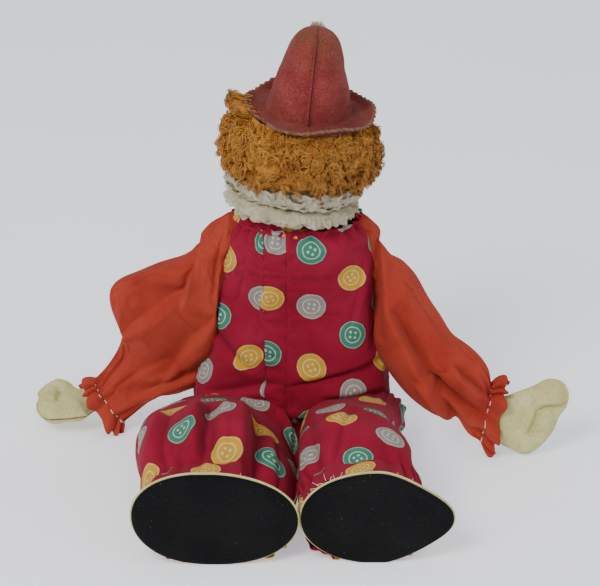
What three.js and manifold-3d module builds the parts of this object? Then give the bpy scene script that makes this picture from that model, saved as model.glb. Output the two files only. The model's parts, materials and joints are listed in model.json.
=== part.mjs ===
// A clown hand puppet, sitting with its legs folded back and its arms hanging at its sides.
// Millimetres, +Z up. The origin is the middle of the seat's flat underside. The puppet faces +Y, its back
// and the hand slit are at -Y, its left side is -X and its right side is +X.
import * as THREE from "three";
import { mergeVertices } from "three/addons/utils/BufferGeometryUtils.js";
import Module from "manifold-3d";

const wasm = await Module();
wasm.setup();

// ---- driving dimensions ----
const CLOTH = 1.6; // thickness that stands for one layer of cotton with its turnings
const FELT = 2; // felt of the hands, hat and shoe soles
const GAP = 0.3; // between pieces that touch
const SMOOTH = 28; // sides of a large round piece
const COARSE = 16; // sides of a small round piece

const TORSO_TOP = 174;
const SLIT = { left: -25, right: -15, bottom: 58, top: 150 }; // hand slit in the back
const ARMHOLE_RADIUS = 13;
const ARMHOLE_DROOP = 0.6; // radians: the armhole band turns down towards the arm

const NECK = new THREE.Vector3(-5, 0, 176); // centre of the neckband, where the head nods
const HEAD_LEAN = THREE.MathUtils.degToRad(6); // the head leans to the puppet's right
const HEAD_RADIUS = 38;
const HEAD_CENTRE = 38; // above the neckband
const TUBE_RADIUS = 12;
const HAT_TILT = THREE.MathUtils.degToRad(5); // the hat is pushed back

const HIP = { y: -15, z: 24, clearance: 24.5 };
const WAIST = 55; // the back panels end here, clear of the legs
const GUSSET_HALF_WIDTH = 5.5;

const ARMS = {
  left: {
    shoulder: new THREE.Vector3(-56, 0, 158),
    wrist: new THREE.Vector3(-146, 12, 17),
    outer: [10, 17, 30, 42, 20, 14, 10],
    inner: [10, 16, 26, 31, 26, 15, 10],
    handAlong: new THREE.Vector3(-0.92, 0.39, 0).normalize(),
    thumb: new THREE.Vector3(0.39, 0.92, 0).normalize(),
  },
  right: {
    shoulder: new THREE.Vector3(56, 0, 158),
    wrist: new THREE.Vector3(133, -25, 28),
    outer: [10, 16, 24, 26, 27, 17, 10],
    inner: [10, 16, 25, 30, 27, 17, 10],
    handAlong: new THREE.Vector3(1, 0, 0),
    thumb: new THREE.Vector3(0, 0, 1),
  },
};
const SLEEVE_DEPTHS = [9, 13, 17, 17, 14, 11, 9];
const SLEEVE_START = 15.5; // clear of the armhole band, which turns inside it
const SLEEVE_END = 14; // short of the wrist, so that the hand can bend

const LEGS = {
  left: { x: -43, toe: -1, splay: -11, widths: [35, 40, 47, 51, 52.5, 51, 47], footX: -55, footHalf: 53.7, soleY: -179 },
  right: { x: 39, toe: 1, splay: 3, widths: [31, 33, 37, 38.5, 38.5, 38, 36], footX: 50, footHalf: 49.5, soleY: -176 },
};
const LEG_LENGTH = 118;
const LEG_HEIGHTS = [22, 23.5, 30, 37, 40, 37, 30]; // half the height of the leg, at even steps from the hip
const FOOT_HEIGHT = 66;
const FOOT_DEPTH = 27;

// ---- colours ----
const cloth = (colour, roughness = 0.9) =>
  new THREE.MeshStandardMaterial({ color: colour, roughness, metalness: 0 });
const PRINT = cloth(0xab1c38);
const ORANGE_RED = cloth(0xb8392b);
const CREAM = cloth(0xc9c48f);
const NET = cloth(0xb0a98c);
const HAIR = cloth(0xb0701f, 1);
const HAT = cloth(0x96382f, 1);
const BLACK = cloth(0x101214, 1);
const THREAD = cloth(0xe0d8c8);
const WADDING = cloth(0xe6e0d0, 1);
const CARD = cloth(0x9a7b52);
const SKIN = cloth(0xe3cdb0, 0.55);
const NOSE_RED = cloth(0xb32018, 0.35);

// ---- shape helpers ----
const group = new THREE.Group();

function place(name, geometry, material, parent = group) {
  const mesh = new THREE.Mesh(geometry, material);
  mesh.name = name;
  parent.add(mesh);
  return mesh;
}

// A profile of [radius, height] pairs, going up the outside, turned about +Z.
function turned(profile, sides = SMOOTH) {
  const points = profile.map(([r, h]) => new THREE.Vector2(r, h));
  return new THREE.LatheGeometry(points, sides).rotateX(Math.PI / 2);
}

// A smooth run of [radius, height] pairs through a few points.
function smoothRun(points, count) {
  const curve = new THREE.SplineCurve(points.map(([r, h]) => new THREE.Vector2(r, h)));
  return curve.getPoints(count).map((p) => [p.x, p.y]);
}

// An open-ended skin: the outside run, and the same run taken in by the wall thickness.
function skin(outside, wall) {
  const inside = outside.map(([r, h]) => [r - wall, h]).reverse();
  return [...outside, ...inside, outside[0]];
}

// Moves every vertex by a rule.
function shaped(geometry, rule) {
  const position = geometry.attributes.position;
  const v = new THREE.Vector3();
  for (let i = 0; i < position.count; i++) {
    rule(v.fromBufferAttribute(position, i));
    position.setXYZ(i, v.x, v.y, v.z);
  }
  return geometry;
}

// A value read from an even table of values by a share from 0 to 1, with straight steps between them.
function along(table, share) {
  const s = THREE.MathUtils.clamp(share, 0, 1) * (table.length - 1);
  const i = Math.min(Math.floor(s), table.length - 2);
  return THREE.MathUtils.lerp(table[i], table[i + 1], s - i);
}

function solid(geometry) {
  const bare = (geometry.index ? geometry.toNonIndexed() : geometry.clone());
  bare.deleteAttribute("normal");
  bare.deleteAttribute("uv");
  const merged = mergeVertices(bare, 1e-3);
  return new wasm.Manifold(
    new wasm.Mesh({
      numProp: 3,
      vertProperties: merged.attributes.position.array,
      triVerts: new Uint32Array(merged.index.array),
    }),
  );
}

function geometryOf(manifold) {
  const mesh = manifold.getMesh();
  return new THREE.BufferGeometry()
    .setAttribute("position", new THREE.BufferAttribute(new Float32Array(mesh.vertProperties), 3))
    .setIndex(new THREE.BufferAttribute(new Uint32Array(mesh.triVerts), 1));
}

function block(x0, x1, y0, y1, z0, z1) {
  return new THREE.BoxGeometry(x1 - x0, y1 - y0, z1 - z0).translate((x0 + x1) / 2, (y0 + y1) / 2, (z0 + z1) / 2);
}

// A cylinder along X between two places.
function bar(x0, x1, y, z, radius) {
  return new THREE.CylinderGeometry(radius, radius, x1 - x0, COARSE)
    .rotateZ(Math.PI / 2)
    .translate((x0 + x1) / 2, y, z);
}

// Turns a group so that its own X, Y and Z lie along the given directions.
function orient(object, x, y, z) {
  object.quaternion.setFromRotationMatrix(new THREE.Matrix4().makeBasis(x, y, z));
}

// ---- torso: a cloth bag with a slit in its back for the hand ----
const TORSO_OUTLINE = [[52, 2.4], [64, 14], [66, 38], [60, 75], [53, 110], [48, 142], [40, 165], [29, TORSO_TOP]];

// Half the depth of the torso as a share of half its width: flatter below, rounder at the neck.
function torsoDepth(z) {
  return 0.55 + 0.26 * THREE.MathUtils.smoothstep(z, 110, TORSO_TOP);
}

function torsoSkin(inset, wall) {
  const outside = smoothRun(TORSO_OUTLINE, 14).map(([r, h]) => [r - inset, h]);
  return shaped(turned(skin(outside, wall), SMOOTH), (v) => {
    v.y *= torsoDepth(v.z);
  });
}

function legClearance() {
  const room = [];
  for (const side of [-1, 1]) {
    const ends = [side * GUSSET_HALF_WIDTH, side * 90].sort((a, b) => a - b);
    const round = solid(bar(ends[0], ends[1], HIP.y, HIP.z, HIP.clearance));
    const behind = solid(block(ends[0], ends[1], -90, HIP.y, -20, HIP.z + HIP.clearance));
    const below = solid(block(ends[0], ends[1], HIP.y - 1, HIP.y + HIP.clearance, -20, HIP.z));
    room.push(round.add(behind).add(below));
  }
  return room[0].add(room[1]);
}

function makeTorso() {
  const armholes = solid(bar(-90, 90, 0, ARMS.left.shoulder.z, ARMHOLE_RADIUS));
  const bag = solid(torsoSkin(0, CLOTH)).subtract(armholes).subtract(legClearance());
  const reach = 100;
  const cut = (x0, x1, y0, y1, z0, z1) => bag.intersect(solid(block(x0, x1, y0, y1, z0, z1)));

  place("front_panel", geometryOf(cut(-reach, reach, GAP / 2, reach, 0, 200)), PRINT);
  place("back_left_panel", geometryOf(cut(-reach, SLIT.left, -reach, -GAP / 2, WAIST, 200)), PRINT);
  place("back_right_panel", geometryOf(cut(SLIT.right, reach, -reach, -GAP / 2, WAIST, 200)), PRINT);

  // the turned-in facing that backs the right edge of the slit
  const facing = solid(torsoSkin(CLOTH + 2 * GAP, 1.2)).intersect(
    solid(block(SLIT.right + 0.5, SLIT.right + 13, -reach, -1, SLIT.bottom, SLIT.top)),
  );
  place("slit_facing", geometryOf(facing), PRINT);

  // the flat bottom of the bag, cut away where the legs hinge
  const base = turned([[0, 0], [52, 0], [52, 2], [0, 2]], SMOOTH).scale(1, torsoDepth(0), 1);
  const seat = solid(base).subtract(solid(block(-reach, -GUSSET_HALF_WIDTH, -reach, HIP.y + HIP.clearance, -5, 5)))
    .subtract(solid(block(GUSSET_HALF_WIDTH, reach, -reach, HIP.y + HIP.clearance, -5, 5)));
  place("seat_panel", geometryOf(seat), PRINT);

  // the strip between the legs, from the seat up the back to the back panels
  const back = -torsoDepth(HIP.z) * 69;
  const gusset = block(
    -GUSSET_HALF_WIDTH + GAP, GUSSET_HALF_WIDTH - GAP, back + 0.5, back + 0.5 + CLOTH, 2.4, WAIST - 0.5,
  );
  place("crotch_gusset", gusset, PRINT);
}

// ---- neck and head, in a frame that leans with the head ----
function makeHead() {
  const head = new THREE.Group();
  head.position.copy(NECK);
  head.rotation.y = HEAD_LEAN;
  group.add(head);

  const ring = (inner, outer, low, high) => [[inner, low], [outer, low], [outer, high], [inner, high], [inner, low]];
  const headRadiusAt = (h) => Math.sqrt(Math.max(0, HEAD_RADIUS ** 2 - (h - HEAD_CENTRE) ** 2));

  place("neckband", turned(ring(TUBE_RADIUS + 0.4, 18, -4, 1.5), COARSE), PRINT, head);
  place("neck_tube", turned(ring(TUBE_RADIUS - 2, TUBE_RADIUS, -14, 28), COARSE), CARD, head);

  // net ruff, in two layers that follow the head inside them
  const ruff = (low, high, lowRadius, highRadius) => {
    const inner = [0, 1, 2, 3].map((i) => {
      const h = high - (i / 3) * (high - low);
      return [Math.max(19.5, headRadiusAt(h) + 1.2), h];
    });
    return [[inner[3][0], low], [lowRadius, low], [highRadius, high], ...inner];
  };
  place("lower_ruff", turned(ruff(4, 16, 40, 44)), NET, head);
  place("upper_ruff", turned(ruff(16.4, 29, 44, 46)), NET, head);

  // moulded head, hollow, glued over the neck tube
  const wall = 3;
  const hole = TUBE_RADIUS + 0.4;
  const angle0 = Math.asin(hole / HEAD_RADIUS);
  const outside = [];
  const steps = 12;
  for (let i = 0; i <= steps; i++) {
    const a = angle0 + ((Math.PI - angle0) * i) / steps;
    outside.push([HEAD_RADIUS * Math.sin(a), HEAD_CENTRE - HEAD_RADIUS * Math.cos(a)]);
  }
  outside[steps][0] = 0;
  const inside = [];
  const innerRadius = HEAD_RADIUS - wall;
  const angle1 = Math.asin(hole / innerRadius);
  for (let i = steps; i >= 0; i--) {
    const a = angle1 + ((Math.PI - angle1) * i) / steps;
    inside.push([innerRadius * Math.sin(a), HEAD_CENTRE - innerRadius * Math.cos(a)]);
  }
  inside[0][0] = 0;
  place("head_shell", turned([...outside, ...inside, outside[0]]), SKIN, head);

  const noseRadius = 7.5;
  const nose = new THREE.SphereGeometry(noseRadius, 16, 12).translate(0, HEAD_RADIUS + 4, HEAD_CENTRE + 2);
  const ball = solid(new THREE.SphereGeometry(HEAD_RADIUS + GAP, 32, 24).rotateX(Math.PI / 2).translate(0, 0, HEAD_CENTRE));
  place("nose", geometryOf(solid(nose).subtract(ball)), NOSE_RED, head);

  // wig: a thick curly band round the back and sides, open over the face
  const wigBottom = 32;
  const wigTop = 70;
  const fringe = 47.5; // the hair hangs outside the ruff
  const band = smoothRun([[fringe + 1, wigBottom], [57, wigBottom + 5], [60, 50], [56, wigTop - 6], [45, wigTop]], 6);
  const lining = [];
  for (let i = 5; i >= 0; i--) {
    const h = wigBottom + 1 + ((wigTop - wigBottom - 1) * i) / 5;
    lining.push([Math.max(headRadiusAt(h), 31) + 0.8, h]);
  }
  const faceGap = solid(block(-30, 30, 12, 90, 0, 62));
  const wig = solid(turned([...band, ...lining, band[0]])).subtract(faceGap);
  place("wig", geometryOf(wig), HAIR, head);

  // felt hat: a tall crown closed by a seam down its back, and a brim with a pinked edge
  const hat = new THREE.Group();
  hat.position.set(3, 0, wigTop + 5.5);
  hat.rotation.x = HAT_TILT;
  head.add(hat);
  const crownOutside = smoothRun([[29, 2.4], [26, 16], [21, 34], [17, 46], [11, 54], [0, 57.5]], 9);
  crownOutside[9][0] = 0;
  const crownInside = crownOutside.map(([r, h]) => [Math.max(0, r - FELT), h - (r < 15 ? FELT : 0)]).reverse();
  place("hat_crown", turned([...crownOutside, ...crownInside.filter(([r], i) => i === 0 || r > 0), crownOutside[0]]), HAT, hat);
  place("hat_brim", turned([[26.5, 0], [40, -1], [45, 0.5], [45, 2.5], [40, 1], [26.5, 2], [26.5, 0]]), HAT, hat);
  const pompon = new THREE.SphereGeometry(6, 14, 10).translate(0, 16, 50);
  const crownFilled = solid(turned([[0, 2.4], ...crownOutside.map(([r, h]) => [r + (r > 0 ? GAP : 0), h + (r < 15 ? GAP : 0)])]));
  place("hat_pompon", geometryOf(solid(pompon).subtract(crownFilled)), NET, hat);
}

// ---- arms ----
// The outline of a mitten hand, fingers along +X and thumb along +Y, with the wrist at 0.
function handShape(scale) {
  const tips = [[8, -12], [23, -26], [40, -17], [48, -3], [50, 9], [55, 18], [52, 27], [42, 30], [22, 20], [8, 12]];
  const middle = new THREE.Vector2(26, 1);
  const points = tips.map(([x, y]) => new THREE.Vector2(x, y).sub(middle).multiplyScalar(scale).add(middle));
  const shape = new THREE.Shape().moveTo(points[0].x, points[0].y);
  shape.splineThru(points.slice(1));
  shape.closePath();
  return shape;
}

function flat(shape, low, high, segments) {
  return new THREE.ExtrudeGeometry(shape, { depth: high - low, bevelEnabled: false, curveSegments: segments }).translate(0, 0, low);
}

function makeArm(side) {
  const arm = ARMS[side];
  const reach = arm.wrist.clone().sub(arm.shoulder);
  const length = reach.length();
  const down = reach.normalize();
  const depthWise = new THREE.Vector3(0, 1, 0).addScaledVector(down, -down.y).normalize();
  // own axes: X away from the body, Y through the depth of the sleeve, Z down the arm
  const outward = new THREE.Vector3().crossVectors(depthWise, down);
  const away = Math.sign(arm.shoulder.x * outward.x);
  const limb = new THREE.Group();
  limb.position.copy(arm.shoulder);
  orient(limb, outward, depthWise, down);
  group.add(limb);

  // narrow band that binds the armhole, a ring on a ball about the shoulder
  const ball = 14;
  const band = [];
  for (const [radius, first, last] of [[ball, -1, 1], [ball - 2.4, 1, -1]]) {
    for (let i = 0; i <= 4; i++) {
      const a = (first + ((last - first) * i) / 4) * 0.42;
      band.push([radius * Math.cos(a), radius * Math.sin(a)]);
    }
  }
  const hole = place(`${side}_armhole_band`, turned([...band, band[0]], COARSE), ORANGE_RED);
  hole.position.copy(arm.shoulder);
  hole.rotation.y = Math.sign(arm.shoulder.x) * (Math.PI / 2 + ARMHOLE_DROOP);

  // wide sleeve, open at the shoulder for a finger and gathered at the wrist
  const end = length - SLEEVE_END;
  const count = 9;
  const outside = [];
  for (let i = 0; i <= count; i++) {
    outside.push([along(SLEEVE_DEPTHS, i / count), SLEEVE_START + ((end - SLEEVE_START) * i) / count]);
  }
  const sleeve = shaped(turned(skin(outside, CLOTH), 20), (v) => {
    const share = (v.z - SLEEVE_START) / (end - SLEEVE_START);
    const width = v.x * away > 0 ? arm.outer : arm.inner;
    v.x *= along(width, share) / along(SLEEVE_DEPTHS, share);
  });
  place(`${side}_sleeve`, sleeve, ORANGE_RED, limb);

  const stitches = turned([[8, -0.5], [9.2, -0.5], [9.2, 0.5], [8, 0.5], [8, -0.5]], COARSE).translate(0, 0, end + 1.5);
  place(`${side}_cuff_thread`, stitches, THREAD, limb);

  // hand, in a frame at the wrist: X along the fingers, Y to the thumb
  const hand = new THREE.Group();
  hand.position.copy(arm.wrist);
  orient(hand, arm.handAlong, arm.thumb, new THREE.Vector3().crossVectors(arm.handAlong, arm.thumb));
  group.add(hand);
  place(`${side}_hand_palm`, flat(handShape(1), 3.3, 3.3 + FELT, 3), CREAM, hand);
  place(`${side}_hand_back`, flat(handShape(1), -3.3 - FELT, -3.3, 3), CREAM, hand);
  place(`${side}_hand_stuffing`, flat(handShape(0.93), -3, 3, 3), WADDING, hand);

  // frill of the sleeve beyond its gathers, lying over the root of the hand
  const frill = turned([[8.6, 3], [9.8, 3], [10.6, 13], [9.4, 13], [8.6, 3]], COARSE)
    .scale(2.6, 1, 1)
    .applyMatrix4(new THREE.Matrix4().makeBasis(
      new THREE.Vector3(0, 1, 0), new THREE.Vector3(0, 0, 1), new THREE.Vector3(1, 0, 0),
    ));
  place(`${side}_cuff_frill`, frill, ORANGE_RED, hand);
}

// ---- legs ----
function makeLeg(side) {
  const leg = LEGS[side];
  const limb = new THREE.Group();
  limb.position.set(leg.x, HIP.y, HIP.z);
  // own axes: X across, Y up, Z along the leg, which points to the puppet's back
  orient(limb, new THREE.Vector3(1, 0, 0), new THREE.Vector3(0, 0, 1), new THREE.Vector3(0, -1, 0));
  group.add(limb);

  // the leg lies on the table, so its middle rises where it is thick
  const bend = (v) => {
    const share = v.z / LEG_LENGTH;
    const height = along(LEG_HEIGHTS, share);
    v.x = (v.x * along(leg.widths, share)) / height + leg.splay * THREE.MathUtils.smoothstep(share, 0, 0.4);
    v.y += Math.max(0, height - HIP.z + 1);
  };
  const hip = [[0, -22], [11, -19.05], [19.05, -11]];
  const calf = LEG_HEIGHTS.map((height, i) => [height, (LEG_LENGTH * i) / (LEG_HEIGHTS.length - 1)]);
  const outside = [...hip, ...calf];
  const inside = outside.slice(1).map(([r, h]) => [r - CLOTH, h]).reverse();
  const tube = turned([...outside, ...inside, [0, -19.6]], 24);
  place(`${side}_trouser_leg`, shaped(tube, bend), PRINT, limb);
  const filling = [
    [0, -18], ...inside.slice().reverse().map(([r, h]) => [r - 0.8, h]), [0, LEG_LENGTH],
  ];
  place(`${side}_leg_stuffing`, shaped(turned(filling, 24), bend), WADDING, limb);

  const hem = turned([[28, 0], [29.2, 0], [30.5, 9], [29.3, 9], [28, 0]], 24).translate(0, 0, LEG_LENGTH + 0.5);
  place(`${side}_trouser_frill`, shaped(hem, bend), PRINT, limb);

  // foot: a domed felt upper on a flat sole, both standing upright with the toe turned out
  const foot = new THREE.Group();
  foot.position.set(leg.footX, leg.soleY, FOOT_HEIGHT / 2);
  orient(foot, new THREE.Vector3(leg.toe, 0, 0), new THREE.Vector3(0, 0, leg.toe), new THREE.Vector3(0, -1, 0));
  group.add(foot);
  // heel end at -X, blunter than the toe end at +X
  const soleOutline = (margin) => {
    const half = leg.footHalf - margin;
    const high = FOOT_HEIGHT / 2 - margin;
    const shape = new THREE.Shape();
    shape.absellipse(-half * 0.08, 0, half * 0.92, high, Math.PI / 2, (3 * Math.PI) / 2, false, 0);
    shape.absellipse(-half * 0.08, 0, half * 1.08, high, (3 * Math.PI) / 2, Math.PI / 2, false, 0);
    return shape;
  };
  place(`${side}_shoe_sole`, flat(soleOutline(0), -FELT, 0, 16), BLACK, foot);
  place(`${side}_shoe_insole`, flat(soleOutline(3), -FELT - 1.8, -FELT - GAP, 16), CARD, foot);
  const back = -FELT - 2.1;
  const dome = (radius, depth, steps) => {
    const run = [];
    for (let i = 0; i <= steps; i++) {
      const a = (i / steps) * (Math.PI / 2);
      run.push([radius * Math.sin(a), back - depth * Math.cos(a)]);
    }
    run[0][0] = 0;
    return run;
  };
  const stretch = (v) => {
    v.x = (v.x * leg.footHalf) / (FOOT_HEIGHT / 2);
  };
  const outer = dome(FOOT_HEIGHT / 2 - 1, FOOT_DEPTH, 7);
  const inner = dome(FOOT_HEIGHT / 2 - 3, FOOT_DEPTH - 2, 7).reverse();
  place(`${side}_shoe_upper`, shaped(turned([...outer, ...inner], 24), stretch), CREAM, foot);
  const core = dome(FOOT_HEIGHT / 2 - 3.8, FOOT_DEPTH - 3, 7);
  place(`${side}_foot_stuffing`, shaped(turned([...core, [0, back]], 24), stretch), WADDING, foot);
}

makeTorso();
makeHead();
for (const side of ["left", "right"]) {
  makeArm(side);
  makeLeg(side);
}

export default group;
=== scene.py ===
"""The looks of a cloth clown hand puppet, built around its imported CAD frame.

Lengths in this script are millimetres until a mesh is made. +Z is up, the puppet faces +Y, and the camera
looks along +Y at its back. Left is -X.
"""

import json
import math

import bpy
import numpy as np
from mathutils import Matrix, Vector, noise


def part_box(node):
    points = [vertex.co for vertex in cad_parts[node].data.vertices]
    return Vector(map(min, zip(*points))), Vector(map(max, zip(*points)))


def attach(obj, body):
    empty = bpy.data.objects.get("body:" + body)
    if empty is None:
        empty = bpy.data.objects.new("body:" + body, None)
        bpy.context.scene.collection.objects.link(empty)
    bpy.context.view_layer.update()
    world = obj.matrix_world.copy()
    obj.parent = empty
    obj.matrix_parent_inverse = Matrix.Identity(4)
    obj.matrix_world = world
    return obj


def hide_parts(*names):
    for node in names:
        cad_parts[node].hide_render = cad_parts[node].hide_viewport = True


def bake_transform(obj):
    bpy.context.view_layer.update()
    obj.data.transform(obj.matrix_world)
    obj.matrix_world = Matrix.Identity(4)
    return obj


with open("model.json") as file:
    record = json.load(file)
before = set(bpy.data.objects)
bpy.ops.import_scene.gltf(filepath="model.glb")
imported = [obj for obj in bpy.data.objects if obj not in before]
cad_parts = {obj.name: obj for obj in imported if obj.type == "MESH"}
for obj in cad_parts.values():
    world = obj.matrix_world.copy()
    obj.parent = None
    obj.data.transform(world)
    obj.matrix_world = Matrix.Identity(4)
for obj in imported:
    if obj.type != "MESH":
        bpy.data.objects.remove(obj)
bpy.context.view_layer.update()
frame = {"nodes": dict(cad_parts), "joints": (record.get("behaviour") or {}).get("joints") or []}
joints = {joint["name"]: joint for joint in frame["joints"]}

MM = 0.001
UP = np.array([0.0, 0.0, 1.0])
BACK = np.array([0.0, -1.0, 0.0])


# ---- numbers from the frame ----
def joint_place(name):
    return np.array(joints[name]["pos_m"]) / MM


def node_box(name):
    low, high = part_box(name)
    return np.array(low) / MM, np.array(high) / MM


NECK = joint_place("head_nod")
HEAD_UP = np.array(joints["head_turn"]["axis"])
HEAD_ACROSS = np.cross([0.0, 1.0, 0.0], HEAD_UP)
HEAD_FORWARD = np.array([0.0, 1.0, 0.0])


# ---- camera, floor and light ----
CAMERA_ELEVATION = math.radians(24)
CAMERA_DISTANCE = 1600
CAMERA_TARGET = np.array([0.0, 0.0, 114.0])
CAMERA_LENS = 137


def make_camera():
    away = np.array([0.0, -math.cos(CAMERA_ELEVATION), math.sin(CAMERA_ELEVATION)])
    camera = bpy.data.objects.new("camera", bpy.data.cameras.new("camera"))
    camera.location = Vector((CAMERA_TARGET + away * CAMERA_DISTANCE) * MM)
    camera.rotation_euler = (math.pi / 2 - CAMERA_ELEVATION, 0, 0)
    camera.data.lens = CAMERA_LENS
    camera.data.sensor_fit = "HORIZONTAL"
    camera.data.clip_end = 20
    bpy.context.scene.collection.objects.link(camera)
    bpy.context.scene.camera = camera


def area_light(name, place, size, power, colour):
    light = bpy.data.lights.new(name, "AREA")
    light.size = size
    light.energy = power
    light.color = colour
    lamp = bpy.data.objects.new(name, light)
    lamp.location = place
    towards = Vector((0, 0, 0.12)) - lamp.location
    lamp.rotation_euler = towards.to_track_quat("-Z", "Y").to_euler()
    bpy.context.scene.collection.objects.link(lamp)


def make_studio():
    area_light("key", (-1.0, -1.6, 1.8), 0.9, 46, (1.0, 0.98, 0.95))
    area_light("fill", (1.6, -1.0, 1.3), 1.6, 10, (0.96, 0.98, 1.0))
    area_light("top", (0.2, 0.5, 2.2), 2.2, 11, (1.0, 1.0, 1.0))
    world = bpy.data.worlds.new("studio")
    world.use_nodes = True
    world.node_tree.nodes["Background"].inputs["Color"].default_value = (0.83, 0.86, 0.9, 1)
    world.node_tree.nodes["Background"].inputs["Strength"].default_value = 0.6
    bpy.context.scene.world = world


# ---- materials ----
class Finish:
    """A material's node tree. Each method adds one node and returns its output socket."""

    def __init__(self, name, roughness=0.9, sheen=0.0):
        self.material = bpy.data.materials.new(name)
        self.material.use_nodes = True
        self.tree = self.material.node_tree
        self.shader = self.tree.nodes["Principled BSDF"]
        self.shader.inputs["Roughness"].default_value = roughness
        self.shader.inputs["Sheen Weight"].default_value = sheen
        self.shader.inputs["Sheen Roughness"].default_value = 0.5
        self.shader.inputs["Specular IOR Level"].default_value = 0.12

    def put(self, socket, value):
        if isinstance(value, bpy.types.NodeSocket):
            self.tree.links.new(value, socket)
        else:
            socket.default_value = value

    def node(self, kind, *values, **settings):
        made = self.tree.nodes.new(kind)
        for key, value in settings.items():
            setattr(made, key, value)
        for socket, value in zip(made.inputs, values):
            if value is not None:
                self.put(socket, value)
        return made

    def math(self, operation, a, b=0.0, clamp=False):
        return self.node("ShaderNodeMath", a, b, operation=operation, use_clamp=clamp).outputs[0]

    def vector(self, operation, a, b=(0, 0, 0)):
        made = self.node("ShaderNodeVectorMath", a, b, operation=operation)
        return made.outputs["Value"] if operation in ("DOT_PRODUCT", "LENGTH") else made.outputs[0]

    def scaled(self, vector, factor):
        made = self.node("ShaderNodeVectorMath", vector, operation="SCALE")
        self.put(made.inputs["Scale"], factor)
        return made.outputs[0]

    def joined(self, x, y, z=0.0):
        return self.node("ShaderNodeCombineXYZ", x, y, z).outputs[0]

    def parts(self, vector):
        return self.node("ShaderNodeSeparateXYZ", vector).outputs

    def between(self, value, low, high, to_low=0.0, to_high=1.0):
        made = self.node("ShaderNodeMapRange", value, low, high, to_low, to_high)
        return made.outputs[0]

    def mixed(self, factor, a, b):
        made = self.tree.nodes.new("ShaderNodeMix")
        made.data_type = "RGBA"
        self.put(made.inputs["Factor"], factor)
        self.put(made.inputs["A"], a if isinstance(a, bpy.types.NodeSocket) else (*a, 1))
        self.put(made.inputs["B"], b if isinstance(b, bpy.types.NodeSocket) else (*b, 1))
        return made.outputs["Result"]

    def noise(self, where, scale, detail=3.0, roughness=0.55):
        made = self.tree.nodes.new("ShaderNodeTexNoise")
        self.put(made.inputs["Vector"], where)
        made.inputs["Scale"].default_value = scale
        made.inputs["Detail"].default_value = detail
        made.inputs["Roughness"].default_value = roughness
        return made.outputs["Fac"]

    def place(self):
        return self.node("ShaderNodeTexCoord").outputs["Object"]

    def cloth_place(self):
        """Millimetres across and along the cut cloth, from the mesh's own map."""
        return self.node("ShaderNodeUVMap").outputs["UV"]

    def bump(self, height, strength, distance, below=None):
        made = self.tree.nodes.new("ShaderNodeBump")
        made.inputs["Strength"].default_value = strength
        made.inputs["Distance"].default_value = distance
        self.put(made.inputs["Height"], height)
        if below is not None:
            self.put(made.inputs["Normal"], below)
        return made.outputs["Normal"]

    def weave(self, pitch, strength=0.35):
        """Two crossing sets of threads, pitch millimetres apart, with uneven yarn."""
        u, v, _ = self.parts(self.cloth_place())
        turn = 2 * math.pi / pitch
        across = self.math("SINE", self.math("MULTIPLY", u, turn))
        along = self.math("SINE", self.math("MULTIPLY", v, turn))
        threads = self.math("MULTIPLY", across, along)
        yarn = self.noise(self.place(), 900, 2)
        height = self.math("ADD", self.math("MULTIPLY", threads, 0.5), yarn)
        slubs = self.bump(self.noise(self.place(), 160, 4), 0.25, 0.0006)
        return self.bump(height, strength, 0.00018, slubs), threads

    def shaded_folds(self, colour, dark, reach=0.75):
        """Painted shade: darker colour in the hollows of the folds, where the cloth bends inwards."""
        bend = self.node("ShaderNodeNewGeometry").outputs["Pointiness"]
        return self.mixed(self.between(bend, 0.50, 0.435, 0.0, reach), colour, dark)

    def finish(self, colour, normal=None):
        self.put(self.shader.inputs["Base Color"], colour)
        if normal is not None:
            self.put(self.shader.inputs["Normal"], normal)
        return self.material


BUTTON_RADIUS = 9.9
PRINT_STEP = np.array([26.6, -23.8])
PRINT_ROW = np.array([-3.5, -43.7])
PRINT_JITTER = 1.6
CRIMSON = (0.24, 0.005, 0.023)
CRIMSON_WORN = (0.31, 0.012, 0.040)
BUTTON_COLOURS = [(0.012, 0.19, 0.13), (0.58, 0.29, 0.0), (0.25, 0.23, 0.22)]
BUTTON_PALE = (0.52, 0.52, 0.38)


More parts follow.
